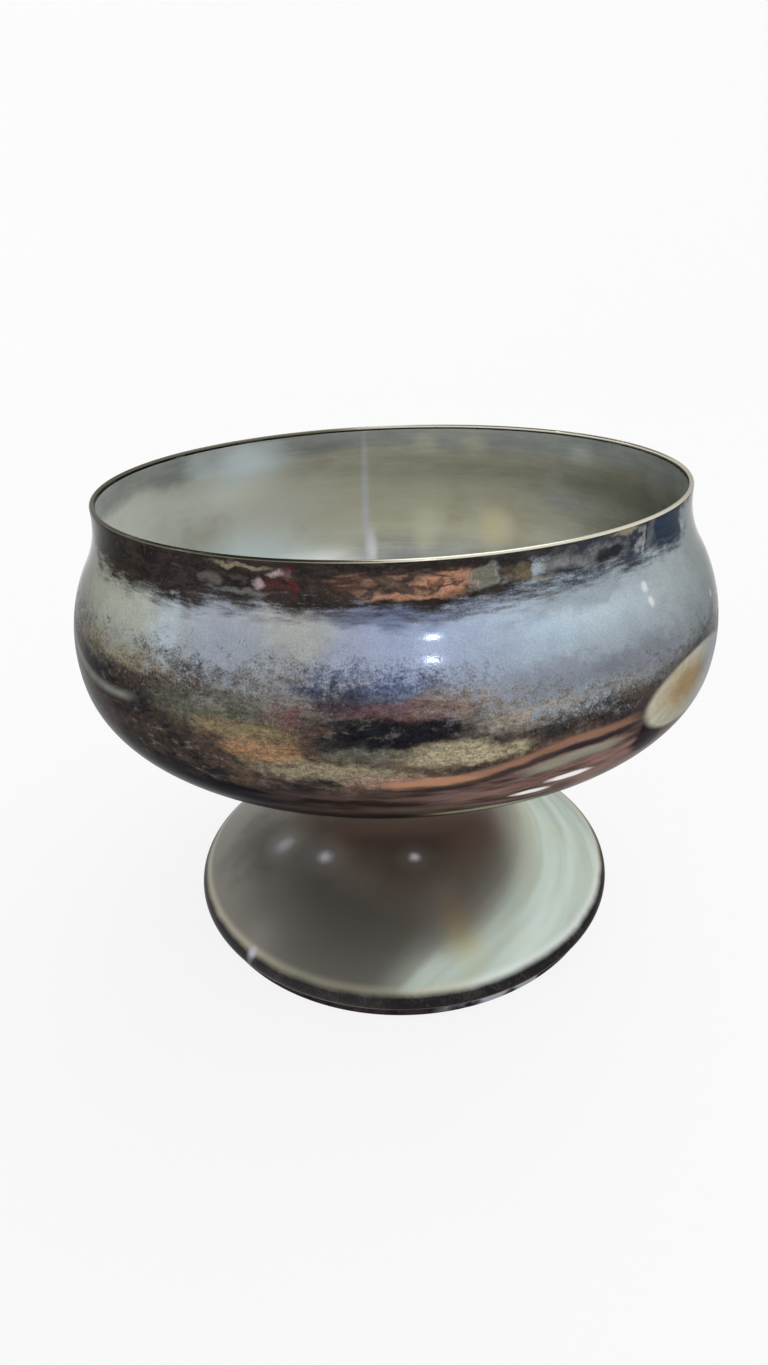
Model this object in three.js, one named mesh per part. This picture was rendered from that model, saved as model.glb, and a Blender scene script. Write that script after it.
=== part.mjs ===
// A footed dessert bowl of spun and soldered sheet metal.
// Sizes are millimetres, angles are degrees, +Z is up and the base ring stands on z = 0.

import * as THREE from "three";

// Bowl
const rimRadius = 50; // outside of the lip
const bowlSheet = 0.8;
const lipHeight = 0.9; // upright part of the lip, below its rounded edge
const neckFlare = 31.6; // how far the foot of the neck leans outward
const neckCurve = 17.4; // hollow curve of the neck
const shoulderCurve = 26.2; // full curve of the upper belly
const shoulderLean = -7.9; // lean of the wall where the upper belly ends
const bellyCurve = 13.2; // tighter curve of the lower belly
const bellyLean = -50.3;
const underCurve = 16.8; // last curve before the crown of the bottom
const crownLean = -58;

// Foot
const footRadius = 42.8; // outside of the rounded edge
const footSheet = 1;
const edgeCurve = 2.2; // soft shoulder where the dome rolls over
const turnCurve = 1.3; // tighter turn under the shoulder
const hemLap = 0.1; // how far the flat return of the sheet runs past the ring's inside
const domeTopSlope = 17; // fall of the dome where it leaves the stem's flare
const domeEdgeSlope = 38; // fall of the dome at its edge
const flareCurve = 10.6; // hollow curve between stem and dome
const waistRadius = 10;
const waistHeight = 1.2; // straight part of the stem
const stemSpread = 55; // lean of the stem where it meets the bowl
const spreadCurve = 5;

// Base ring
const ringInset = 1.5; // how far it stands back from the foot's edge
const ringHeight = 2.6;
const ringWidth = 2;
const ringRound = 0.7; // softened outer edge that meets the table

// Solder seam
const seamRun = 2.2; // how far the fillet reaches out under the bowl
const seamLean = 28; // lean of the stem where the fillet ends
const seamHollow = 0.4; // how deep its face is drawn in

// Clearances
const jointGap = 0.3; // between a curved wall and the solder beside it

// Facets
const turnSteps = 64;
const arcSagitta = 0.06; // how far a facet may cut inside its arc
const faceSteps = 4;

const ringRadius = footRadius - ringInset;
const hemRadius = ringRadius - ringWidth - hemLap;

const radians = THREE.MathUtils.degToRad;
const cos = (angle) => Math.cos(radians(angle));
const sin = (angle) => Math.sin(radians(angle));

// An outline runs down the outside of a wall as tangent lines and arcs.
// Its heading is 0 straight down and grows as the wall leans outward.
class Outline {
  constructor(radius, height, heading) {
    this.points = [{ radius, height, heading }];
  }

  get end() {
    return this.points.at(-1);
  }

  line(length) {
    const { radius, height, heading } = this.end;
    this.points.push({
      radius: radius + length * sin(heading),
      height: height - length * cos(heading),
      heading,
    });
    return this;
  }

  arc(curve, heading) {
    const from = this.end;
    const side = heading > from.heading ? -curve : curve;
    const step = (360 / Math.PI) * Math.acos(1 - arcSagitta / curve);
    const count = Math.ceil(Math.abs(heading - from.heading) / step);
    for (let i = 1; i <= count; i++) {
      const at = from.heading + ((heading - from.heading) * i) / count;
      this.points.push({
        radius: from.radius + side * (cos(at) - cos(from.heading)),
        height: from.height + side * (sin(at) - sin(from.heading)),
        heading: at,
      });
    }
    return this;
  }
}

// The point that lies a given depth inside the outline's surface.
function inside({ radius, height, heading }, depth) {
  return new THREE.Vector2(
    Math.max(0, radius - depth * cos(heading)),
    height - depth * sin(heading),
  );
}

// Outer and inner face of a sheet, as one run of points from the lower outside to the lower inside.
function sheetSection(outline, sheet, roundedTop) {
  const outer = outline.points.map((point) => inside(point, 0)).reverse();
  const inner = outline.points.map((point) => inside(point, sheet));
  const lip = [];
  if (roundedTop) {
    const centre = inside(outline.points[0], sheet / 2);
    for (const turn of [45, 90, 135]) {
      const reach = sheet / 2;
      lip.push(
        new THREE.Vector2(
          centre.x + reach * cos(turn),
          centre.y + reach * sin(turn),
        ),
      );
    }
  }
  return [...outer, ...lip, ...inner];
}

// Turns a section of radius and height about +Z.
function turned(name, section, material) {
  const geometry = new THREE.LatheGeometry(section, turnSteps);
  geometry.rotateX(Math.PI / 2);
  const mesh = new THREE.Mesh(geometry, material);
  mesh.name = name;
  return mesh;
}

function closed(section) {
  return [...section, section[0].clone()];
}

function silveredMetal(color, roughness) {
  return new THREE.MeshStandardMaterial({ color, roughness, metalness: 1 });
}

// Heights from the lip at 0 down to the crown, whose arc is centred on the axis.
const bowlOutline = new Outline(rimRadius, 0, 0)
  .line(lipHeight)
  .arc(neckCurve, neckFlare)
  .arc(shoulderCurve, shoulderLean)
  .arc(bellyCurve, bellyLean)
  .arc(underCurve, crownLean);
const crownCurve = bowlOutline.end.radius / cos(crownLean);
const crownCentre = bowlOutline.end.height - crownCurve * sin(crownLean);
bowlOutline.arc(crownCurve, -90);

// Depth of the bowl's underside below its lip, at a radius on the crown.
function crownHeight(radius) {
  return crownCentre - Math.sqrt(crownCurve ** 2 - radius ** 2);
}

// Heights from the waist's top at 0, then lifted so that the hem lies on the ring.
function footOutline() {
  const spreadReach = spreadCurve * (1 - cos(stemSpread));
  const spreadRise = spreadCurve * sin(stemSpread);
  const topHeading = 90 - domeTopSlope;
  const edgeHeading = 90 - domeEdgeSlope;
  const outline = new Outline(waistRadius + spreadReach, spreadRise, -stemSpread)
    .arc(spreadCurve, 0)
    .line(waistHeight)
    .arc(flareCurve, topHeading);
  const domeRun =
    footRadius - edgeCurve * (1 - cos(edgeHeading)) - outline.end.radius;
  outline
    .arc(domeRun / (cos(edgeHeading) - cos(topHeading)), edgeHeading)
    .arc(edgeCurve, 0)
    .arc(turnCurve, -90)
    .line(footRadius - turnCurve - hemRadius);
  const lift = ringHeight - outline.end.height;
  for (const point of outline.points) point.height += lift;
  return outline;
}

function makeBowl() {
  return turned(
    "bowl",
    sheetSection(bowlOutline, bowlSheet, true),
    silveredMetal(0x9a9c9e, 0.25),
  );
}

function makeFoot(outline) {
  return turned(
    "foot",
    closed(sheetSection(outline, footSheet, false)),
    silveredMetal(0x8f8d86, 0.35),
  );
}

function makeFootRing() {
  const corner = ringRadius - ringRound;
  const section = [new THREE.Vector2(ringRadius - ringWidth, 0)];
  for (const turn of [-90, -60, -30, 0])
    section.push(
      new THREE.Vector2(
        corner + ringRound * cos(turn),
        ringRound + ringRound * sin(turn),
      ),
    );
  section.push(new THREE.Vector2(ringRadius, ringHeight));
  section.push(new THREE.Vector2(ringRadius - ringWidth, ringHeight));
  return turned("foot_ring", closed(section), silveredMetal(0x6d6763, 0.3));
}

// The fillet fills the corner between the stem and the bowl's underside, a joint gap clear of both.
function makeSolderSeam(stem, bowlLift) {
  const top = stem.points[0];
  const side = new Outline(top.radius, top.height, top.heading)
    .arc(spreadCurve, -seamLean)
    .points.slice(1)
    .map((point) => inside(point, -jointGap));
  const underBowl = (radius) =>
    new THREE.Vector2(radius, crownHeight(radius) + bowlLift - jointGap);
  const start = top.radius + jointGap;
  const reach = underBowl(start + seamRun);
  const foot = side.at(-1);
  const middle = reach.clone().lerp(foot, 0.5);
  const corner = new THREE.Vector2(start, top.height);
  const pull = corner.clone().sub(middle).setLength(2 * seamHollow);
  const face = new THREE.QuadraticBezierCurve(foot, middle.add(pull), reach);
  const section = [
    ...face.getPoints(faceSteps),
    underBowl(start + seamRun / 2),
    underBowl(start),
    corner,
    ...side.slice(0, -1),
  ];
  return turned(
    "solder_seam",
    closed(section),
    silveredMetal(0x7b7874, 0.5),
  );
}

const stem = footOutline();
const stemEdge = inside(stem.points[0], footSheet);
const bowlLift = stemEdge.y + jointGap - crownHeight(stemEdge.x);

const bowl = makeBowl();
bowl.position.z = bowlLift;

const dessertBowl = new THREE.Group();
dessertBowl.name = "dessert_bowl";
dessertBowl.add(
  bowl,
  makeFoot(stem),
  makeFootRing(),
  makeSolderSeam(stem, bowlLift),
);

export default dessertBowl;
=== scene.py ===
import math

import bmesh
import bpy
from mathutils import Matrix, Vector, noise


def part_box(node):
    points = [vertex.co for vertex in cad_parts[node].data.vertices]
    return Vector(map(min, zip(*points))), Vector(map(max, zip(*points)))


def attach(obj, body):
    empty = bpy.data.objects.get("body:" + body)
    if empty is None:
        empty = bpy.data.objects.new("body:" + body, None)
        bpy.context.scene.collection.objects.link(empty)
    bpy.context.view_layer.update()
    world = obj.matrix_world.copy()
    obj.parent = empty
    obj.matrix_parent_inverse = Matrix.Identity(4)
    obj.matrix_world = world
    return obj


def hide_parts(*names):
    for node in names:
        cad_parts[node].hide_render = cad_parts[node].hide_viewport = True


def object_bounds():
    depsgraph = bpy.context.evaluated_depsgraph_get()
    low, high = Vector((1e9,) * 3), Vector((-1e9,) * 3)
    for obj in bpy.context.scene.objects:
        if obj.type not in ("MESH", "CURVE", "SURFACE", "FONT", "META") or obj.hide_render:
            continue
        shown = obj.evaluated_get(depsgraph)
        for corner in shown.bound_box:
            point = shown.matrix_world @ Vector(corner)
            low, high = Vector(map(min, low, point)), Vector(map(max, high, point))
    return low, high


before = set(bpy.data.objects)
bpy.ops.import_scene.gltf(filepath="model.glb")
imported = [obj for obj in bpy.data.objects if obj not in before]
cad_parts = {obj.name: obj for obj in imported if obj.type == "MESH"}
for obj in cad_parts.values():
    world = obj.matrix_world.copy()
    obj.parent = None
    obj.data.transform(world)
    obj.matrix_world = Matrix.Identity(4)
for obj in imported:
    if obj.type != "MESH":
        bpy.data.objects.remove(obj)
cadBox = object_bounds()
mm = 0.001
# points closer than this are joined
weld = 0.001 * mm
photoSize = (768, 1365)

# Where the photograph was taken from, measured from the middle of the rim
view = {
    "focalPixels": 810,
    "back": 142.3,
    "above": 29.65,
    "pitch": 26.36,
    "yaw": 0.99,
    "roll": 2.5,
}


def placeCamera():
    camera = bpy.data.objects.new("camera", bpy.data.cameras.new("camera"))
    bpy.context.scene.collection.objects.link(camera)
    bpy.context.scene.camera = camera
    camera.data.sensor_width = 36
    camera.data.lens = 36 * view["focalPixels"] / max(photoSize)
    camera.data.clip_start = 0.01
    camera.location = (0, -view["back"] * mm, cadBox[1][2] + view["above"] * mm)
    yaw, tilt, roll = (math.radians(a) for a in (view["yaw"], 90 - view["pitch"], -view["roll"]))
    turn = Matrix.Rotation(yaw, 3, "Z") @ Matrix.Rotation(tilt, 3, "X") @ Matrix.Rotation(roll, 3, "Z")
    camera.rotation_euler = turn.to_euler()


placeCamera()
print("camera placed")


# Draws the profile of a turned piece in the XZ plane as tangent lines and arcs, in millimetres.
# Heading is 0 straight down and grows as the profile leans outward. A profile drawn with an inset
# follows the same arcs that far inside the sheet.
class Profile:
    def __init__(self, mesh, radius, height, heading, inset=0, mark=0):
        self.mesh = mesh
        self.heading = heading
        self.inset = inset
        self.inner = mesh.verts.layers.int.get("inner") or mesh.verts.layers.int.new("inner")
        start = Vector((radius, 0, height)) - self.outward() * inset
        self.first = self.tip = mesh.verts.new(start * mm)
        self.tip[self.inner] = mark

    def outward(self):
        lean = math.radians(self.heading)
        return Vector((math.cos(lean), 0, math.sin(lean)))

    def line(self, length, steps=1):
        lean = math.radians(self.heading)
        step = Vector((math.sin(lean), 0, -math.cos(lean))) * length * mm / steps
        for _ in range(steps):
            self.tip = bmesh.ops.extrude_vert_indiv(self.mesh, verts=[self.tip])["verts"][0]
            bmesh.ops.translate(self.mesh, vec=step, verts=[self.tip])
        return self

    def arc(self, curve, heading, finest=0.7):
        swing = math.radians(heading - self.heading)
        side = 1 if swing > 0 else -1
        centre = self.tip.co + self.outward() * (side * curve + self.inset) * mm
        steps = max(4, math.ceil(abs(swing) * curve / finest))
        made = bmesh.ops.spin(
            self.mesh, geom=[self.tip], cent=centre, axis=(0, 1, 0), angle=-swing, steps=steps
        )
        self.tip = made["geom_last"][0]
        self.heading = heading
        return self

    def radius(self):
        return self.tip.co.x / mm

    def joinTo(self, other):
        self.mesh.edges.new((self.tip, other))


def spinPiece(mesh, steps=200):
    bmesh.ops.spin(mesh, geom=mesh.verts[:] + mesh.edges[:], cent=(0, 0, 0), axis=(0, 0, 1),
                   angle=math.tau, steps=steps, use_merge=True)
    bmesh.ops.remove_doubles(mesh, verts=mesh.verts[:], dist=0.004 * mm)
    bmesh.ops.recalc_face_normals(mesh, faces=mesh.faces[:])
    inner = mesh.verts.layers.int["inner"]
    for face in mesh.faces:
        face.smooth = True
        face.material_index = int(all(v[inner] for v in face.verts))


# Hand-worked sheet is never quite round: the wall wanders inward by up to this depth
def ripple(mesh, depth, size):
    for vert in mesh.verts:
        wander = 0.5 + 0.5 * noise.noise(vert.co / (size * mm))
        out = Vector((vert.co.x, vert.co.y, 0))
        if out.length > 0:
            vert.co -= out.normalized() * depth * mm * wander * min(1, out.length / (20 * mm))


def finishPiece(mesh, node, materials):
    name = node + "_turned"
    piece = bpy.data.objects.new(name, bpy.data.meshes.new(name))
    mesh.to_mesh(piece.data)
    mesh.free()
    bpy.context.scene.collection.objects.link(piece)
    for material in materials:
        piece.data.materials.append(material)
    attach(piece, "root")
    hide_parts(node)
    print(name, len(piece.data.polygons), "faces")
    return piece


# A shader socket that adds its own Math nodes when it is used in a sum
class Wire:
    def __init__(self, tree, socket=None):
        self.tree = tree
        self.socket = socket

    def make(self, kind, settings=None, inputs=None, output=0):
        node = self.tree.nodes.new("ShaderNode" + kind)
        for key, value in (settings or {}).items():
            if key == "stops":
                ramp = node.color_ramp
                while len(ramp.elements) < len(value):
                    ramp.elements.new(0.5)
                for element, (place, color) in zip(ramp.elements, value):
                    element.position = place
                    element.color = (*color, 1)
            else:
                setattr(node, key, value)
        for key, value in (inputs or {}).items():
            if isinstance(value, Wire):
                self.tree.links.new(value.socket, node.inputs[key])
            else:
                node.inputs[key].default_value = value
        return Wire(self.tree, node.outputs[output] if len(node.outputs) else None)

    def maths(self, operation, *values):
        return self.make("Math", {"operation": operation}, dict(enumerate(values)))

    def __add__(self, other):
        return self.maths("ADD", self, other)

    def __sub__(self, other):
        return self.maths("SUBTRACT", self, other)

    def __rsub__(self, other):
        return self.maths("SUBTRACT", other, self)

    def __mul__(self, other):
        return self.maths("MULTIPLY", self, other)

    __radd__ = __add__
    __rmul__ = __mul__


def newMetal(name):
    material = bpy.data.materials.new(name)
    material.use_nodes = True
    material.node_tree.nodes.clear()
    return material, Wire(material.node_tree)


# 0 below low, 1 above high, eased in between
def rise(value, low, high):
    sockets = {"Value": value, "From Min": low, "From Max": high}
    return value.make("MapRange", {"interpolation_type": "SMOOTHSTEP"}, sockets)


def blend(factor, under, over):
    return factor.make("Mix", {"data_type": "RGBA"}, {0: factor, 6: under, 7: over}, output=2)


# Lightens and darkens a colour by a pattern that lies about one half
def grained(color, pattern, share):
    settings = {"data_type": "RGBA", "blend_type": "OVERLAY"}
    return color.make("Mix", settings, {0: share, 6: color, 7: pattern}, output=2)


def grey(linear):
    return (linear, linear, linear, 1)


def tone(red, green, blue):
    def linear(value):
        share = value / 255
        return share / 12.92 if share <= 0.04045 else ((share + 0.055) / 1.055) ** 2.4

    return (linear(red), linear(green), linear(blue), 1)


# Object coordinates in millimetres, and what the patterns need of them
class Place:
    def __init__(self, wire):
        metres = wire.make("TexCoord", output=3)
        self.point = self.stretch(metres, (1000, 1000, 1000))
        self.height = self.part(self.point, 2)
        flat = self.stretch(self.point, (1, 1, 0))
        self.around = flat.make("VectorMath", {"operation": "NORMALIZE"}, {0: flat})
        self.side = self.part(self.around, 0)
        self.radius = flat.make("VectorMath", {"operation": "LENGTH"}, {0: flat}, output=1)
        # 0 at the front, growing to 180 at the back, negative to the left
        across, front = self.part(self.around, 0), self.part(self.around, 1)
        self.turn = across.maths("ARCTAN2", across, 0 - front) * (180 / math.pi)
        self.wall = self.turn.make("CombineXYZ", None, {0: self.turn, 1: self.height})
        self.disc = self.turn.make("CombineXYZ", None, {0: self.turn, 1: self.radius})

    # The wall's turn and height, bent by a noise, with all marks coming back half a turn round
    def bendWall(self):
        sockets = {"Vector": self.point, "Scale": 0.35, "Detail": 4}
        bend = self.point.make("TexNoise", None, sockets, output=1)
        red = bend.make("SeparateColor", None, {0: bend})
        green = bend.make("SeparateColor", None, {0: bend}, output=1)
        turn = self.turn + (red - 0.5) * 9
        height = self.height + (green - 0.5) * 2.4
        self.bent = turn.make("CombineXYZ", None, {0: turn.maths("WRAP", turn, 90, -90), 1: height})

    def stretch(self, vector, scale):
        return vector.make("Mapping", {"vector_type": "POINT"}, {"Vector": vector, "Scale": scale})

    def part(self, vector, index):
        return vector.make("SeparateXYZ", None, {0: vector}, output=index)

    # Noise with features of about the given size in millimetres, squashed along each axis as asked
    def cloud(self, size, detail=4, rough=0.55, squash=(1, 1, 1), warp=0):
        vector = self.stretch(self.point, squash)
        sockets = {"Vector": vector, "Scale": 1 / size, "Detail": detail}
        sockets.update({"Roughness": rough, "Distortion": warp})
        return vector.make("TexNoise", {"noise_dimensions": "3D"}, sockets)

    # Distance from the nearest border of uneven cells
    def cells(self, size, squash):
        bent = self.point.make("VectorMath", {"operation": "ADD"}, {0: self.point, 1: self.jitter(size)})
        sockets = {"Vector": self.stretch(bent, squash), "Scale": 1 / size}
        return bent.make("TexVoronoi", {"feature": "DISTANCE_TO_EDGE"}, sockets)

    def jitter(self, size):
        sockets = {"Vector": self.point, "Scale": 1.5 / size, "Detail": 3}
        noisy = self.point.make("TexNoise", None, sockets, output=1)
        return self.stretch(noisy, (size * 0.7,) * 3)

    # Noise that changes quickly round the axis and slowly up the wall
    def streaks(self, across, along, detail=3):
        round_ = self.stretch(self.around, (50 / across, 50 / across, 1))
        tall = self.stretch(self.point, (0, 0, 1 / along))
        vector = round_.make("VectorMath", {"operation": "ADD"}, {0: round_, 1: tall})
        sockets = {"Vector": vector, "Scale": 1, "Detail": detail}
        return vector.make("TexNoise", {"noise_dimensions": "3D"}, sockets)

    # A patch about a place on the wall or the disc, made ragged by a noise, the more so the softer its edge
    def patch(self, turn, level, wide, tall, ragged=None, edge=0.35, share=1, on=None):
        sockets = {0: on or self.wall, 1: (1 / wide, 1 / tall, 0), 2: (-turn / wide, -level / tall, 0)}
        away = self.turn.make("VectorMath", {"operation": "MULTIPLY_ADD"}, sockets)
        reach = away.make("VectorMath", {"operation": "LENGTH"}, {0: away}, output=1)
        shift = 0
        if ragged:
            reach = reach.maths("MULTIPLY_ADD", ragged, 5 * edge, reach)
            shift = 2.5 * edge
        sockets = {"Value": reach, "From Min": 1 - edge + shift, "From Max": 1 + edge + shift}
        sockets.update({"To Min": share, "To Max": 0})
        return reach.make("MapRange", {"interpolation_type": "SMOOTHSTEP"}, sockets)


def joinMetal(wire, color, rough, bumps, metallic=1, edge=(1, 1, 1, 1)):
    normal = None
    for height, strength, distance in bumps:
        sockets = {"Height": height, "Strength": strength, "Distance": distance * mm}
        if normal:
            sockets["Normal"] = normal
        normal = wire.make("Bump", None, sockets)
    sockets = {"Base Color": color, "Roughness": rough, "Metallic": metallic, "Normal": normal}
    sockets["Specular Tint"] = edge
    shader = wire.make("BsdfPrincipled", {"distribution": "MULTI_GGX"}, sockets)
    wire.make("OutputMaterial", None, {"Surface": shader})


bowl = {
    "rimRadius": 50, "sheet": 0.8, "lipHeight": 0.9,
    "neckFlare": 31.6, "neckCurve": 17.4,
    "shoulderCurve": 26.2, "shoulderLean": -7.9,
    "bellyCurve": 13.2, "bellyLean": -50.3,
    "underCurve": 16.8, "crownLean": -58,
    "rippleDepth": 0.12, "rippleSize": 24,
    # tints of the clean plate with a painted reflection in them, bluer and brighter toward the front right,
    # from the left side round to the right
    "silver": [
        (0.04, (168, 170, 154)), (0.16, (166, 172, 160)), (0.27, (158, 164, 176)), (0.38, (156, 159, 164)),
        (0.5, (158, 168, 196)), (0.62, (172, 186, 205)), (0.72, (182, 198, 210)), (0.88, (168, 178, 180)),
    ],
    "umber": (84, 70, 61), "soot": (44, 41, 43), "navy": (78, 90, 122), "slate": (112, 116, 122),
    "copperReflection": (150, 112, 94), "maroon": (104, 72, 70), "khaki": (148, 137, 112), "olive": (104, 104, 90),
    "gold": (136, 120, 92), "amber": (152, 120, 90), "sand": (160, 148, 134), "blush": (158, 128, 114),
    "ash": (126, 121, 116), "pearl": (226, 228, 228), "glint": (255, 255, 255), "cream": (214, 210, 174),
    "blueGlint": (172, 186, 196),
    # a painted highlight along the lip, darker at the left as painted shade
    "lipHighlight": (222, 216, 196), "shadedLipHighlight": (104, 101, 86), "edge": (0.5, 0.5, 0.5, 1),
    "lipPaint": (85.44, 85.52),
    "coal": (27, 27, 33), "straw": (168, 157, 130), "mauve": (112, 112, 124), "rust": (104, 46, 48),
    "rose": (188, 168, 170), "pewter": (156, 158, 158), "tan": (172, 128, 104), "ink": (50, 64, 82),
    "chalk": (174, 174, 166), "dim": (124, 128, 132),
    # the turn of the belly
    "bark": (68, 56, 51), "russet": (118, 94, 87), "clay": (132, 110, 98), "ember": (176, 132, 102),
    "lichen": (150, 150, 134),
    # the painted reflections at the sides
    "ivory": (190, 187, 166), "ice": (180, 189, 190), "honey": (166, 136, 92), "shadow": (78, 70, 68),
    "moon": (140, 144, 132),
    # the neck, with the two tints of its painted copper reflection
    "tar": (58, 51, 48), "pitch": (36, 34, 34), "drab": (98, 90, 84), "dusk": (64, 70, 84),
    "darkCopper": (80, 62, 54), "dullCopper": (128, 102, 86),
    # the satin inside, with painted sheen streaks, painted shade and painted light
    "warmHaze": (188, 178, 146), "sheenStreak": (240, 240, 230), "highShade": (142, 140, 126),
    "lowShade": (146, 150, 152), "lowLight": (250, 254, 252), "bottom": (196, 195, 186),
    "bottomDark": (176, 173, 160), "underLipShade": (148, 154, 158),
    # tints of the satin inside, from the right side over the far wall to the left, dark at the right and
    # light at the left as painted light and shade
    "satin": [
        (0.02, (92, 94, 90)), (0.16, (160, 159, 147)), (0.3, (216, 214, 200)), (0.45, (233, 230, 210)),
        (0.6, (236, 233, 215)), (0.72, (244, 241, 226)), (0.85, (255, 255, 246)), (0.99, (232, 234, 226)),
    ],
    # soft painted gleams there: turn, height, width and height of each, how strong it is, colour
    "gleams": [
        (-142, 57, 14, 7, 0.8, (236, 252, 255)), (-173.6, 68, 0.9, 13, 0.6, (232, 234, 255)),
        (-174.8, 56.5, 1.2, 3.5, 1, (250, 252, 255)), (171, 61, 3, 5, 0.7, (248, 244, 218)),
        (153, 61.6, 4, 4, 1, (255, 244, 208)), (134, 69.6, 6, 2, 0.5, (184, 190, 198)),
        (170, 81.6, 3, 2.2, 0.4, (226, 224, 200)), (157, 81.6, 3, 2.2, 0.4, (226, 222, 198)),
        (-141, 80.6, 10, 4, 0.9, (236, 250, 255)), (-126, 82, 4, 3, 0.5, (226, 240, 240)),
        (126, 81.6, 3.4, 1.8, 0.4, (214, 220, 214)),
    ],
    # stains of the lower belly: tint, turn, height, width, height of each, how strong and how soft it is
    "stains": [
        ("ash", 24, 69, 26, 4, 0.8, 0.6), ("ash", -16, 70, 9, 3, 0.7, 0.6),
        ("olive", -27, 67, 9, 2.4, 0.6, 0.6), ("ash", -26, 68, 3, 0.9, 0.5, 0.5),
        ("khaki", -48, 71, 12, 2, 0.75, 0.6), ("navy", -3, 72, 9, 3.6, 0.85, 0.5),
        ("sand", 9, 69.4, 6, 1.5, 0.6, 0.6), ("sand", 19, 66.2, 7, 1.5, 0.8, 0.5),
        ("soot", 27, 64.6, 9, 1.8, 0.7, 0.5), ("gold", -21, 64.8, 7, 1.4, 0.75, 0.45),
        ("amber", -18.5, 62.3, 5.5, 1.5, 0.85, 0.45), ("khaki", -9, 60.2, 10, 1.4, 0.75, 0.45),
        ("straw", 8, 62.3, 8.4, 1.6, 0.9, 0.38), ("olive", -4, 62.8, 6, 1.1, 0.6, 0.4),
        ("coal", 0.6, 65.8, 8.6, 1.9, 0.95, 0.26), ("maroon", 0, 68.7, 11, 1.2, 0.65, 0.5),
        ("soot", -7, 70, 4, 2, 0.6, 0.6), ("maroon", -14, 67.4, 2, 1.3, 0.7, 0.5),
        ("blush", -1, 58.8, 6, 1, 0.7, 0.4),
    ],
    # marks on the neck, in the same order; the two bluish-white ones are painted highlights
    "marks": [
        ("straw", -22, 84.7, 5, 0.25, 0.45, 0.6), ("ash", -27, 82.8, 1.6, 0.7, 0.35, 0.6),
        ("rose", -19.6, 82.8, 1.1, 0.7, 0.7, 0.6), ("rose", -15.6, 84.1, 1.6, 0.4, 0.7, 0.6),
        ("pewter", -22, 81.5, 4, 0.3, 0.35, 0.7), ("rust", -17, 82.8, 2, 0.9, 0.3, 0.7),
        ("rust", -14.2, 82.9, 0.6, 1.8, 0.6, 0.7), ("tan", 3, 81.2, 5.5, 0.35, 0.8, 0.5),
        ("coal", 6.6, 82.7, 0.7, 0.5, 0.6, 0.5), ("blush", 11.3, 83, 1.8, 0.5, 0.7, 0.5),
        ("pewter", 13.7, 83, 2, 1.5, 0.6, 0.35), ("olive", 13.4, 83.1, 1.5, 1.2, 0.9, 0.3),
        ("gold", 18, 82.9, 1.8, 0.9, 0.5, 0.7), ("blueGlint", 21.1, 83.1, 1.1, 0.8, 0.7, 0.6),
        ("straw", 21.2, 81.8, 1.8, 0.4, 0.5, 0.6), ("pewter", 25, 83.4, 3, 1, 0.5, 0.7),
        ("pewter", 33.4, 83.2, 4.8, 1.4, 0.45, 0.45), ("coal", 34.4, 83, 3.6, 1, 0.9, 0.3),
        ("pewter", 41.8, 83.2, 0.8, 2.2, 0.7, 0.5), ("slate", 44.6, 83, 1.2, 2.2, 0.7, 0.5),
        ("ink", 50.4, 83, 4.6, 2.8, 0.8, 0.25), ("blueGlint", 58.5, 83.3, 2.4, 2.2, 0.8, 0.5),
        ("straw", 38, 85.2, 3.2, 0.4, 0.6, 0.5),
    ],
}


def tint(name):
    return tone(*bowl[name])


# Clean plate: its tint, which carries a painted reflection, drifts round the wall under a thin uneven haze
# and darkens a little downward
def platedWall(at, grain, drift, wisps):
    stops = [(place, tone(*rgb)[:3]) for place, rgb in bowl["silver"]]
    around = at.side * 0.5 + 0.5 + (wisps - 0.5) * 0.12
    plate = at.point.make("ValToRGB", {"stops": stops}, {0: around})
    plate = blend(at.patch(-13, 77.2, 4.5, 3.6, wisps, 0.6, 0.7, at.bent), plate, tint("chalk"))
    # the plate darkens toward the slate tint lower down
    downwardDarkening = 1 - rise(at.height + (drift - 0.5) * 8, 68, 77.5)
    plate = blend(downwardDarkening * 0.6, plate, tint("slate"))
    # a tall narrow painted highlight on the left of the shoulder
    plate = blend(at.patch(-35, 76, 2.4, 4.4, wisps, 0.7, 0.6, at.bent), plate, tint("blueGlint"))
    plate = blend(at.patch(-2, 79, 9, 1.3, wisps, 0.5, 0.6, at.bent), plate, tint("navy"))
    haze = at.cloud(3.5, 6, 0.65, squash=(1, 1, 1.4))
    plate = blend(at.patch(25, 70.4, 9, 2, wisps, 0.5, 0.5, at.bent), plate, tint("mauve"))
    plate = blend(at.patch(38, 69.6, 8, 2.4, wisps, 0.5, 0.55, at.bent), plate, tint("mauve"))
    dim = at.patch(27, 79, 13, 1.7, wisps, 0.6, 0.5, at.bent)
    plate = blend(dim, plate, tint("dim"))
    plate = grained(plate, haze * 0.7 + rise(grain, 0.3, 0.7) * 0.3, 0.32)
    # small painted highlights on the shoulder
    for turn, height in ((41, 77.2), (41.5, 75.4), (62, 71)):
        plate = blend(at.patch(turn, height, 0.6, 0.6, wisps, 0.6, 0.8), plate, tint("pearl"))
    return plate


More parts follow.
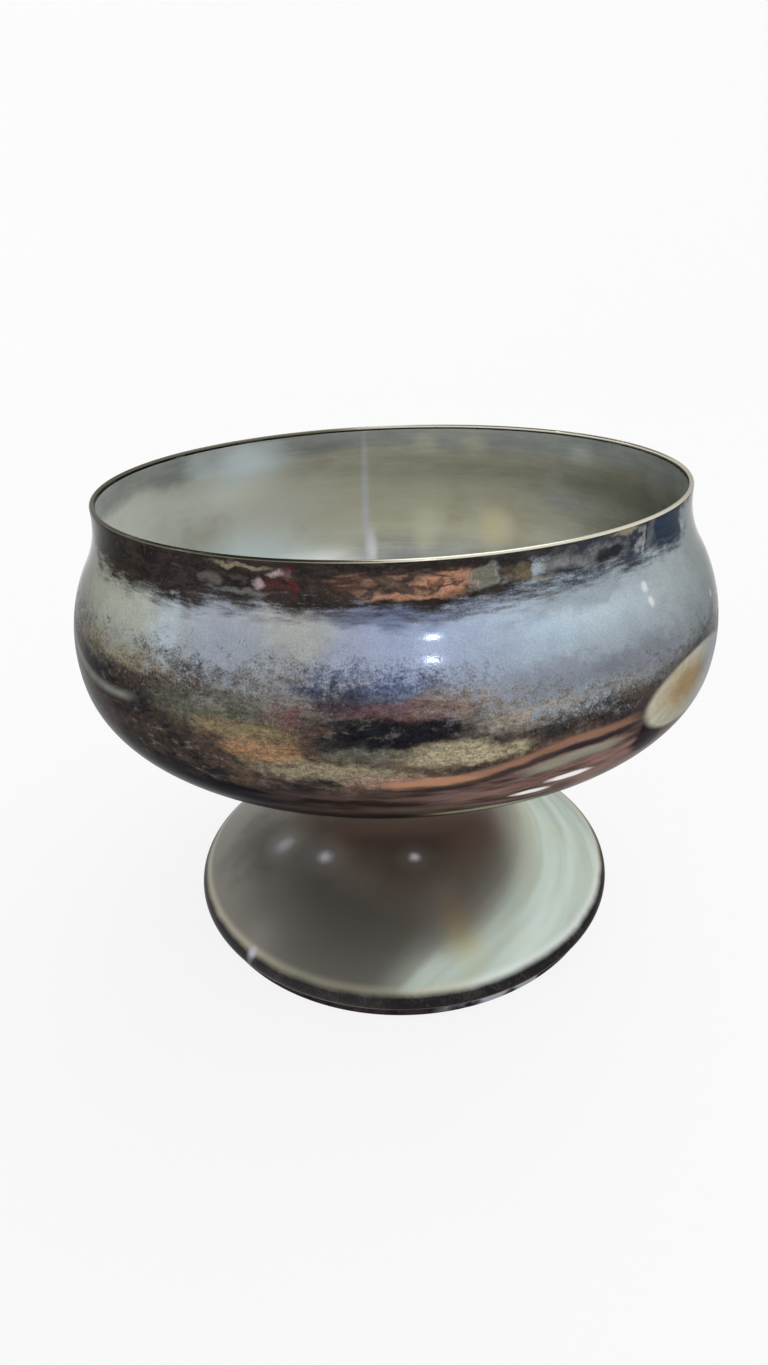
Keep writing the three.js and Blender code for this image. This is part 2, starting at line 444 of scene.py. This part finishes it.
# Lower belly: umber and soot, finely grained, with paler and coloured stains drawn out along the wall, and
# painted shade toward the left
def stainedWall(at, grain, wisps, ragged):
    smear = at.cloud(9, 6, 0.66, squash=(1, 1, 2.4), warp=0.4)
    stain = blend(rise(smear, 0.4, 0.6), tint("umber"), tint("soot"))
    # painted shade: darker toward the left side
    stain = blend(rise(0 - at.side, 0.3, 0.65) * 0.5, stain, tint("soot"))
    for name, turn, height, wide, tall, share, edge in bowl["stains"]:
        stain = blend(at.patch(turn, height, wide, tall, ragged, edge, share, at.bent), stain, tint(name))
    blots = at.cloud(2.4, 6, 0.72, squash=(1, 1, 1.8))
    stain = blend(rise(wisps, 0.56, 0.7) * 0.3, stain, tint("olive"))
    stain = blend(rise(blots, 0.54, 0.66) * 0.4, stain, tint("ash"))
    stain = blend(rise(0.98 - blots, 0.54, 0.66) * 0.5, stain, tint("coal"))
    mottle = at.cloud(0.9, 5, 0.75, squash=(0.7, 0.7, 1.6))
    return grained(stain, rise(mottle, 0.34, 0.66) * 0.6 + rise(grain, 0.3, 0.7) * 0.4, 0.6)


# The turn of the belly: a painted copper reflection climbs to the right as a line over a dark one, above a
# maroon underside that is darker at the left as painted shade; painted glints and a painted cream reflection
# lie near its bottom edge
def turnOfBelly(at, color, wisps, lathe):
    climb = rise(at.turn, 4, 26) * (1 - rise(at.turn, 80, 150))
    line = at.height - 58.3 - climb * 3 + (wisps - 0.5) * 1.2
    reach = rise(at.turn, -4, 4) * (1 - rise(at.turn, 33, 38))
    # painted shade: the underside is darker at the left, running from coal at the left to russet at the
    # right
    under = 1 - rise(line + rise(0.1 - at.side, 0, 0.4) * 1.6, -1.6, 0.4)
    left = blend(rise(at.side, -0.45, -0.1), tint("coal"), tint("bark"))
    bottom = blend(rise(at.side, -0.1, 0.4), left, tint("russet"))
    crown = 1 - rise(at.radius, 24, 34)
    bottom = blend(crown, grained(bottom, rise(lathe, 0.34, 0.66), 0.6), tint("clay"))
    color = blend(under, color, bottom)

    def band(middle, narrow, wide):
        away = line + middle
        return 1 - rise(away.maths("ABSOLUTE", away), narrow, wide)

    # the painted copper reflection line, with a warmer painted glow at the front
    color = blend(band(0, 0.2, 1) * reach * (0.35 + lathe), color, tint("copperReflection"))
    color = blend(at.patch(5, 58.2, 7, 0.8, wisps, 0.4, 0.8), color, tint("ember"))
    color = blend(band(1.1, 0.2, 0.8) * reach * 0.85, color, tint("soot"))
    pale = band(2.6, 0.3, 1.2) * rise(at.turn, 14, 20) * (1 - rise(at.turn, 29, 34))
    color = blend(pale * 0.75, color, tint("lichen"))
    calm = wisps * 0.5 + 0.25
    # painted glints and a painted cream reflection near the bottom edge
    for turn, height, wide, tall, name in (
        (24.2, 55.2, 3.4, 0.5, "glint"), (18.7, 53.7, 2.8, 0.45, "glint"), (12.6, 51, 8, 0.6, "cream"),
    ):
        color = blend(at.patch(turn, height, wide, tall, calm, 0.4), color, tint(name))
    return color


# Painted reflections at both sides: a pale oval with an ochre middle and a dark surround at the right, and a
# faint painted light crescent at the left; a near-black patch lies below and left of the oval
def sideReflections(at, color, wisps):
    pale = blend(rise(at.turn, 48, 60), tint("ivory"), tint("ice"))
    pale = blend(at.patch(48, 62, 6, 2.6, edge=0.9, share=0.9), pale, tint("honey"))
    pale = grained(pale, wisps, 0.5)
    color = blend(at.patch(50.5, 61.6, 16.5, 6, edge=0.25, share=0.6), color, tint("shadow"))
    color = blend(at.patch(39.2, 57, 3.6, 3, wisps, 0.25, 0.9), color, tint("coal"))
    hidden = rise(at.turn + (wisps - 0.5) * 30, 56, 72)
    color = blend(at.patch(52, 61, 15, 5.3, edge=0.07) * (1 - hidden * 0.8), color, pale)
    arc = (at.turn + 50) * (at.turn + 50) * 0.011 + 64.4
    away = arc.maths("ABSOLUTE", at.height - arc)
    crescent = 1 - rise(away + rise(at.turn, -58, -44) * 0.3, 0.2, 1.5)
    crescent = crescent * rise(at.turn, -72, -60) * (1 - rise(at.turn, -44, -39))
    return blend(crescent * (0.2 + wisps), color, tint("moon"))


# Neck: near black with many small marks, a painted copper reflection in front and navy at the right
def tarnishedNeck(at, grain, ragged):
    blots = at.cloud(4, 6, 0.68, squash=(1, 1, 2), warp=0.5)
    band = blend(rise(blots, 0.42, 0.6), tint("tar"), tint("pitch"))
    band = blend(rise(blots, 0.54, 0.68) * 0.5, band, tint("drab"))
    band = blend(rise(at.side, 0.2, 0.6) * 0.6, band, tint("dusk"))
    outline = rise(at.cells(5, (0.7, 0.7, 1.7)), 0.02, 0.1)
    flow = at.cloud(3, 5, 0.6, squash=(0.5, 0.5, 2.6), warp=0.8)
    # the painted copper reflection in front, lighter in its middle
    metal = blend(rise(flow, 0.4, 0.62), tint("darkCopper"), tint("dullCopper"))
    bright = at.patch(8, 82.3, 3.6, 1.5, ragged, 0.4, on=at.bent) * rise(flow, 0.35, 0.5)
    metal = blend(bright, metal, tint("tan"))
    copperReflection = at.patch(1.5, 82.6, 11, 1.8, ragged, 0.3, on=at.bent)
    band = blend(copperReflection * (outline * 0.75 + 0.25), band, metal)
    for name, turn, height, wide, tall, share, edge in bowl["marks"]:
        band = blend(at.patch(turn, height, wide, tall, ragged, edge, share, at.bent), band, tint(name))
    return grained(band, rise(flow, 0.3, 0.7) * 0.5 + rise(grain, 0.3, 0.7) * 0.5, 0.4)


def tarnishedSilver():
    material, wire = newMetal("tarnishedSilver")
    at = Place(wire)
    at.bendWall()
    grain = at.cloud(0.26, 3, 0.6)
    grit = at.cloud(1.3, 5, 0.72, squash=(1, 1, 1.4))
    wisps = at.cloud(5, 6, 0.62, squash=(1, 1, 2.2), warp=0.5)
    drift = at.cloud(15, 4, 0.5, squash=(1, 1, 1.8))
    ragged = wisps * 0.6 + grit * 0.4
    stipple = (grain - 0.5) * 1.1 + (grit - 0.5) * 2.2

    # specks gather downward until they cover the plate, and lie thickly in the stained wall
    edge = 71.8 - rise(at.side, 0.05, 0.4) * 4.2 + (wisps - 0.5) * 9
    edge = edge + at.patch(-4, 70, 10, 4, edge=0.6, share=1.6)
    above = (at.height - edge) * 0.15
    clear = rise(above + stipple, -0.5, 0.4)
    color = blend(1 - clear, platedWall(at, grain, drift, wisps), stainedWall(at, grain, wisps, ragged))
    lathe = at.cloud(1.2, 4, 0.6, squash=(0.12, 0.12, 1))
    color = turnOfBelly(at, color, wisps, lathe)
    color = sideReflections(at, color, wisps)

    lift = rise(at.side, 0.15, 0.35) * 1.1 + rise(at.side, 0.82, 0.9) * 4 + rise(0 - at.side, 0.85, 0.95) * 4
    over = (at.height - 79.2 - lift + (wisps - 0.5) * 4 + (drift - 0.5) * 4) * 0.35
    brushed = at.cloud(1.1, 5, 0.7, squash=(0.3, 0.3, 1.8))
    neck = rise(over + (brushed - 0.5) * 2.2 + (grain - 0.5), -0.6, 0.6)
    color = blend(neck, color, tarnishedNeck(at, grain, ragged))
    lipHighlight = blend(rise(at.side, -0.3, 0.1), tint("shadedLipHighlight"), tint("lipHighlight"))
    # the painted highlight along the lip, darker at the left as painted shade, starts a little higher on its
    # outside
    lipMiddle = bowl["rimRadius"] - bowl["sheet"] / 2
    over = at.height - (at.radius - lipMiddle) * 0.3
    color = blend(rise(over, *bowl["lipPaint"]), color, lipHighlight)

    rough = 0.12 + (1 - clear) * 0.14 + neck * 0.04
    bumps = [(drift, 0.12, 0.5), (wisps, 0.08, 0.1), (grain, 0.1, 0.03)]
    joinMetal(wire, color, rough, bumps, edge=bowl["edge"])
    return material


# The satin inside: painted light and shade over its own tint, with painted sheen streaks and painted gleams
def satinSilver():
    material, wire = newMetal("satinSilver")
    at = Place(wire)
    streak = at.streaks(16, 90)
    fine = at.streaks(1.2, 60)
    broad = at.cloud(22, 4, 0.6)
    lathe = at.cloud(0.6, 3, squash=(0.05, 0.05, 1))
    # from 90 at the right side over the far wall and the left side round to 450
    turned = at.turn.maths("WRAP", at.turn, 450, 90)
    stops = [(place, tone(*rgb)[:3]) for place, rgb in bowl["satin"]]
    across = turned.maths("MINIMUM", (turned - 90) * (1 / 150), (450 - turned) * (1 / 210))
    across = across + (broad - 0.5) * 0.2
    color = wire.make("ValToRGB", {"stops": stops}, {0: across})
    color = blend(rise(broad, 0.5, 0.66) * 0.3, color, tint("warmHaze"))
    # painted sheen in upright streaks
    color = blend(rise(streak, 0.46, 0.7) * 0.2, color, tint("sheenStreak"))
    # painted shade high on the right and back wall
    high = rise(at.height + (broad - 0.5) * 10, 69, 78)
    high = high * (1 - rise(turned, 202, 222) + rise(turned, 390, 440))
    color = blend(high * 0.45, color, tint("highShade"))
    # painted shade low on the right, painted light low on the left
    low = 1 - rise(at.height + (broad - 0.5) * 6, 53, 61)
    right = 1 - rise(turned, 184, 208) + rise(turned, 390, 440)
    color = blend(low * right * 0.8, color, tint("lowShade"))
    color = blend(low * (1 - right), color, tint("lowLight"))
    bottom = 1 - rise(at.radius + (broad - 0.5) * 10, 26, 44)
    color = blend(bottom, color, blend(rise(broad, 0.4, 0.6), tint("bottom"), tint("bottomDark")))
    # painted shade under the lip
    shade = rise(at.height + (streak - 0.5) * 4 + (broad - 0.5) * 4, 79, 82)
    color = blend(shade * 0.7, color, tint("underLipShade"))
    # the painted gleams are less metallic, so that their paint shows
    matt = 0
    for turn, height, wide, tall, share, rgb in bowl["gleams"]:
        gleam = at.patch(turn, height, wide, tall, edge=0.8, share=share)
        color = blend(gleam, color, tone(*rgb))
        matt = gleam + matt
    scuffs = at.cloud(5, 6, 0.7, squash=(0.5, 0.5, 1.8), warp=0.6)
    color = grained(grained(color, lathe, 0.2), rise(scuffs, 0.3, 0.7), 0.14)
    # the painted highlight along the lip
    color = blend(rise(at.height, *bowl["lipPaint"]), color, tint("lipHighlight"))
    rough = 0.34 + fine * 0.12
    bumps = [(fine, 0.08, 0.05), (lathe, 0.1, 0.02)]
    joinMetal(wire, color, rough, bumps, 0.58 - matt * 0.5)
    return material


def drawBowlWall(mesh, lipTop, inset, mark):
    wall = Profile(mesh, bowl["rimRadius"], lipTop - bowl["sheet"] / 2, 0, inset, mark)
    wall.line(bowl["lipHeight"], 2)
    wall.arc(bowl["neckCurve"], bowl["neckFlare"])
    wall.arc(bowl["shoulderCurve"], bowl["shoulderLean"])
    wall.arc(bowl["bellyCurve"], bowl["bellyLean"])
    wall.arc(bowl["underCurve"], bowl["crownLean"])
    lean = math.cos(math.radians(bowl["crownLean"]))
    wall.arc(wall.radius() / lean + inset, -90, finest=1.2)
    return wall


def makeBowl():
    mesh = bmesh.new()
    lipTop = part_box("bowl")[1][2] / mm
    outer = drawBowlWall(mesh, lipTop, 0, 0)
    inner = drawBowlWall(mesh, lipTop, bowl["sheet"], 1)
    middle = (outer.first.co + inner.first.co) / 2
    bmesh.ops.spin(mesh, geom=[outer.first], cent=middle, axis=(0, 1, 0), angle=-math.pi, steps=8)
    bmesh.ops.remove_doubles(mesh, verts=mesh.verts[:], dist=weld)
    spinPiece(mesh)
    ripple(mesh, bowl["rippleDepth"], bowl["rippleSize"])
    return finishPiece(mesh, "bowl", [tarnishedSilver(), satinSilver()])


foot = {
    "radius": 42.8, "sheet": 1, "edgeCurve": 2.2, "turnCurve": 1.3, "domeTopSlope": 17, "domeEdgeSlope": 38,
    "flareCurve": 10.6, "waistRadius": 10, "waistHeight": 1.2, "stemSpread": 55, "spreadCurve": 5,
    "hemRadius": 39.2,
    "plate": (198, 206, 190), "haze": (194, 208, 200), "khaki": (174, 176, 156), "dull": (134, 131, 122),
    "brown": (124, 107, 97), "gold": (190, 166, 122), "straw": (204, 200, 158), "shoulderHighlight": (216, 206, 182),
    "hollow": (118, 110, 96), "hollowDark": (84, 74, 64),
    "dark": (40, 36, 38), "gloom": (86, 82, 76), "bright": (220, 228, 216), "polished": (236, 240, 236),
    "mist": (156, 154, 150), "gleam": (222, 218, 232), "edge": (0.6, 0.6, 0.6, 1),
    # marks on it, most of them painted highlights with a painted glow round them and a painted shade at the
    # left: tint, turn, distance from the axis, width and depth of each, how strong and how matt it is
    "marks": [
        ("gloom", -78, 30, 16, 6, 0.8, 0), ("mist", -36, 22.9, 20, 4, 0.4, 0.2),
        ("mist", 14, 31, 9, 5, 0.4, 0), ("mist", -64, 26.6, 8, 2.6, 0.45, 0.2),
        ("mist", -41, 23.2, 8, 2.4, 0.5, 0.3), ("mist", 6.7, 19.9, 8, 2.2, 0.5, 0.3),
        ("gold", 17, 31.8, 4.4, 3.2, 0.4, 0), ("straw", 16.5, 35.6, 5, 3.4, 0.6, 0),
        ("gleam", -64, 26.2, 3.4, 1.3, 0.4, 0.7), ("gleam", -41, 22.9, 3, 1, 0.7, 1),
        ("gleam", 6.7, 19.7, 3, 0.9, 0.9, 1), ("gleam", -42.6, 41.8, 1.2, 0.8, 1, 0.8),
        ("polished", 6.7, 19.7, 1.7, 0.5, 1, 0), ("polished", -41, 22.9, 1.5, 0.5, 0.6, 0),
    ],
}


def drawFootWall(mesh, inset, mark):
    lean = math.radians(foot["stemSpread"])
    top, edge = (90 - foot[slope] for slope in ("domeTopSlope", "domeEdgeSlope"))
    topShare, edgeShare = (math.cos(math.radians(heading)) for heading in (top, edge))
    start = foot["waistRadius"] + foot["spreadCurve"] * (1 - math.cos(lean))
    wall = Profile(mesh, start, 0, -foot["stemSpread"], inset, mark)
    wall.arc(foot["spreadCurve"], 0).line(foot["waistHeight"], 2).arc(foot["flareCurve"], top)
    domeRun = foot["radius"] - foot["edgeCurve"] * (1 - edgeShare) - wall.radius() - inset * topShare
    wall.arc(domeRun / (edgeShare - topShare), edge, finest=1)
    wall.arc(foot["edgeCurve"], 0, finest=0.2).arc(foot["turnCurve"], -90, finest=0.2)
    wall.line(foot["radius"] - foot["turnCurve"] - foot["hemRadius"], 3)
    return wall


def footTint(name):
    return tone(*foot[name])


# Satin plate: painted shade at the left and a painted brown reflection of the bowl near the stem, its own
# lighter tint beyond a slanting border at the right, with a painted highlight along the edge and painted
# shade below it
def satinFoot():
    material, wire = newMetal("satinFoot")
    at = Place(wire)
    drift = at.cloud(18, 4)
    blots = at.cloud(7, 5, 0.6)
    fine = at.cloud(0.5, 3)
    calm = blots * 0.5 + 0.25
    brightSide = blend(rise(drift, 0.4, 0.62), footTint("plate"), footTint("haze"))
    # painted shade at the left, with a painted brown reflection of the bowl near the stem
    near = 1 - rise(at.radius + (drift - 0.5) * 10, 16, 32)
    dull = blend(near * 0.85, footTint("dull"), footTint("brown"))
    # the slanting border of the painted shade
    border = 33.8 - at.turn * 0.125 + at.turn.maths("POWER", 0.93, at.turn) * 6
    beyond = at.radius - border + (blots - 0.5) * 1.5
    soft = rise(at.turn, 25, 60)
    share = rise(beyond, -7, 0) * 0.45 + rise(beyond, -1, 1 + soft * 1.5) * 0.55
    share = share * (1 - rise(at.turn, 120, 170))
    # streaks that run along the border
    run = at.turn.make("CombineXYZ", None, {0: beyond * 0.24, 1: at.turn * 0.016, 2: blots * 0.3})
    streaks = run.make("TexNoise", None, {"Vector": run, "Scale": 1, "Detail": 2})
    brightSide = blend(soft * (1 - rise(beyond, 2, 9)) * 0.6, brightSide, footTint("khaki"))
    brightSide = blend(rise(streaks, 0.4, 0.72) * 0.6, brightSide, footTint("khaki"))
    brightSide = blend(rise(0.98 - streaks, 0.44, 0.76) * 0.6, brightSide, footTint("bright"))
    color = blend(share, dull, brightSide)
    # a painted highlight along the rounded edge, brightest at the front right
    front = rise(at.turn, 5, 25) * (1 - rise(at.turn, 50, 90))
    shoulderHighlight = blend(front, footTint("shoulderHighlight"), footTint("polished"))
    color = blend(rise(at.radius, 40.2, 41.6) * 0.6, color, shoulderHighlight)
    # painted shade under the rounded edge
    below = blend(rise(fine * 0.4 + blots * 0.6, 0.5, 0.62) * 0.3, footTint("dark"), footTint("gloom"))
    color = blend(1 - rise(at.height + (blots - 0.5) * 0.6, 5.3, 6.3), color, below)
    matt = 0
    # the painted highlights are less metallic, so that their paint shows
    for name, turn, radius, wide, deep, strong, flatness in foot["marks"]:
        mark = at.patch(turn, radius, wide, deep, calm, 0.8, strong, at.disc)
        color = blend(mark, color, footTint(name))
        matt = mark * flatness + matt
    turning = at.radius.make("TexNoise", {"noise_dimensions": "1D"}, {"W": at.radius, "Scale": 2.5})
    rough = 0.29 + drift * 0.06
    bumps = [(drift, 0.08, 0.4), (turning, 0.05, 0.02), (fine, 0.05, 0.02)]
    joinMetal(wire, color, rough, bumps, share * 0.4 + 0.6 - matt * 0.5, foot["edge"])
    return material


def dullUnderside():
    material, wire = newMetal("dullUnderside")
    at = Place(wire)
    drift = at.cloud(10, 5)
    color = blend(rise(drift, 0.4, 0.62), footTint("hollow"), footTint("hollowDark"))
    joinMetal(wire, color, 0.42 + drift * 0.15, [(at.cloud(0.8, 4), 0.2, 0.05)])
    return material


def makeFoot():
    mesh = bmesh.new()
    outer = drawFootWall(mesh, 0, 0)
    inner = drawFootWall(mesh, foot["sheet"], 1)
    outer.joinTo(inner.tip)
    mesh.edges.new((outer.first, inner.first))
    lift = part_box("foot")[0][2] - outer.tip.co.z
    bmesh.ops.translate(mesh, vec=(0, 0, lift), verts=mesh.verts[:])
    spinPiece(mesh)
    return finishPiece(mesh, "foot", [satinFoot(), dullUnderside()])


ring = {
    "inset": 1.5, "width": 2, "bead": 0.7,
    "metal": (54, 44, 46), "deep": (34, 30, 32), "fleck": (120, 88, 92), "highlightPatches": (160, 162, 168),
    "edge": (0.5, 0.5, 0.5, 1),
}


def darkRingMetal():
    material, wire = newMetal("darkRingMetal")
    at = Place(wire)
    marks = at.cloud(3, 5, 0.65, squash=(1, 1, 2))
    highlightPatches = at.cloud(7, 4)
    color = blend(rise(marks, 0.45, 0.62), tone(*ring["metal"]), tone(*ring["deep"]))
    color = blend(rise(at.cloud(1.2, 4), 0.6, 0.7) * 0.5, color, tone(*ring["fleck"]))
    # a painted highlight in patches at the front right
    right = rise(at.turn, 4, 16) * (1 - rise(at.turn, 50, 80))
    color = blend(rise(highlightPatches, 0.42, 0.56) * right, color, tone(*ring["highlightPatches"]))
    joinMetal(wire, color, 0.29 + marks * 0.14, [(marks, 0.3, 0.15)], edge=ring["edge"])
    return material


def makeRing():
    mesh = bmesh.new()
    low, high = (corner / mm for corner in (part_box("foot_ring")[0][2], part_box("foot_ring")[1][2]))
    radius = foot["radius"] - ring["inset"]
    tall = high - low
    # down the outside over a rounded lower edge, then back along the table and up the inside
    section = Profile(mesh, radius, high, 0)
    section.line(tall - ring["bead"], 3).arc(ring["bead"], -90, finest=0.1)
    section.line(ring["width"] - ring["bead"], 2)
    section.heading = -180
    section.line(tall, 3)
    section.heading = 90
    section.line(ring["width"], 2)
    bmesh.ops.remove_doubles(mesh, verts=mesh.verts[:], dist=weld)
    spinPiece(mesh)
    return finishPiece(mesh, "foot_ring", [darkRingMetal()])


# The fillet fills nearly the whole of its box, under a face that leans a little
seam = {
    "run": 2.2, "runShare": 0.95, "depthShare": 0.98, "faceLean": 20,
    "bright": (120, 118, 114), "dull": (88, 84, 80),
}


def dullSolder():
    material, wire = newMetal("dullSolder")
    at = Place(wire)
    lumps = at.cloud(1.6, 4)
    color = blend(rise(lumps, 0.4, 0.65), tone(*seam["bright"]), tone(*seam["dull"]))
    joinMetal(wire, color, 0.4 + lumps * 0.2, [(lumps, 0.4, 0.3)])
    return material


def makeSeam():
    mesh = bmesh.new()
    low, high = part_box("solder_seam")
    wide = high[0] / mm
    top = high[2] / mm
    bottom = low[2] / mm
    section = Profile(mesh, wide, top, -90)
    section.line(seam["run"] * seam["runShare"], 3)
    section.heading = -seam["faceLean"]
    section.line((top - bottom) * seam["depthShare"], 3)
    section.joinTo(section.first)
    bmesh.ops.subdivide_edges(mesh, edges=mesh.edges[:], cuts=1)
    spinPiece(mesh)
    return finishPiece(mesh, "solder_seam", [dullSolder()])


makeBowl()
makeFoot()
makeRing()
makeSeam()
print("pieces made")

studio = {
    "floorRadius": 0.9, "sweepCurve": 0.3, "wallHeight": 0.25,
    "paper": 0.95, "paperGlow": 0.86,
    "sky": (0.93, 0.95, 0.96), "leftSky": (0.14, 0.14, 0.135),
    # place in metres, size, watts, colour
    "lamps": {
        "topSoftbox": ((0.2, 0.35, 1.0), 0.7, 1.4, (1, 1, 1)),
        "upperSpot": ((0.21, -0.91, 0.84), 0.03, 0.09, (1, 1, 1)),
        "lowerSpot": ((0.23, -1.0, 0.66), 0.03, 0.09, (1, 1, 1)),
        "leftSpot": ((-0.715, 0.69, 0.67), 0.07, 0.12, (0.94, 1, 0.96)),
        "leftHighSpot": ((-0.606, 0.394, 0.958), 0.05, 0.08, (0.96, 0.94, 1)),
        "sideSpot": ((-0.958, 0.017, 0.722), 0.05, 0.15, (0.96, 0.94, 1)),
    },
}


def makeFloor():
    mesh = bmesh.new()
    sweep = Profile(mesh, 0.0001, 0, 90)
    sweep.line(studio["floorRadius"] / mm, 6)
    sweep.arc(studio["sweepCurve"] / mm, 180, finest=30)
    sweep.line(studio["wallHeight"] / mm, 2)
    spinPiece(mesh, 96)
    floor = bpy.data.objects.new("floor", bpy.data.meshes.new("floor"))
    mesh.to_mesh(floor.data)
    mesh.free()
    bpy.context.scene.collection.objects.link(floor)
    paper = bpy.data.materials.new("paleFloor")
    paper.use_nodes = True
    paper.node_tree.nodes.clear()
    wire = Wire(paper.node_tree)
    kinds = ("Is Camera Ray", "Is Glossy Ray", "Is Transmission Ray")
    direct, glossy, through = (wire.make("LightPath", output=kind) for kind in kinds)
    share = (direct + glossy + through) * studio["paperGlow"]
    flat = wire.make("BsdfDiffuse", None, {"Color": grey(studio["paper"])})
    glow = wire.make("Emission", None, {"Color": grey(1), "Strength": 1})
    shader = wire.make("MixShader", None, {0: share, 1: flat, 2: glow})
    wire.make("OutputMaterial", None, {"Surface": shader})
    floor.data.materials.append(paper)


def lightWorld():
    world = bpy.data.worlds.new("studioAir")
    bpy.context.scene.world = world
    world.use_nodes = True
    world.node_tree.nodes.clear()
    wire = Wire(world.node_tree)
    toward = wire.make("TexCoord", output=0)
    side, depth, up = (toward.make("SeparateXYZ", None, {0: toward}, output=axis) for axis in range(3))
    left = rise(0 - side, -0.04, 0.1) * rise(up + depth * 0.25, 0.5, 0.66)
    sky = blend(left, (*studio["sky"], 1), (*studio["leftSky"], 1))
    air = wire.make("Background", None, {"Color": sky, "Strength": 1})
    wire.make("OutputWorld", None, {"Surface": air})


def hangLamps():
    for name, (place, size, watts, color) in studio["lamps"].items():
        lamp = bpy.data.objects.new(name, bpy.data.lights.new(name, "AREA"))
        bpy.context.scene.collection.objects.link(lamp)
        lamp.data.shape = "DISK"
        lamp.data.size = size
        lamp.data.energy = watts
        lamp.data.color = color
        lamp.location = place
        aim = Vector((0, 0, 0.05)) - Vector(place)
        lamp.rotation_euler = aim.to_track_quat("-Z", "Y").to_euler()


makeFloor()
lightWorld()
hangLamps()
bpy.context.scene.view_settings.view_transform = "Standard"
print("studio lit")
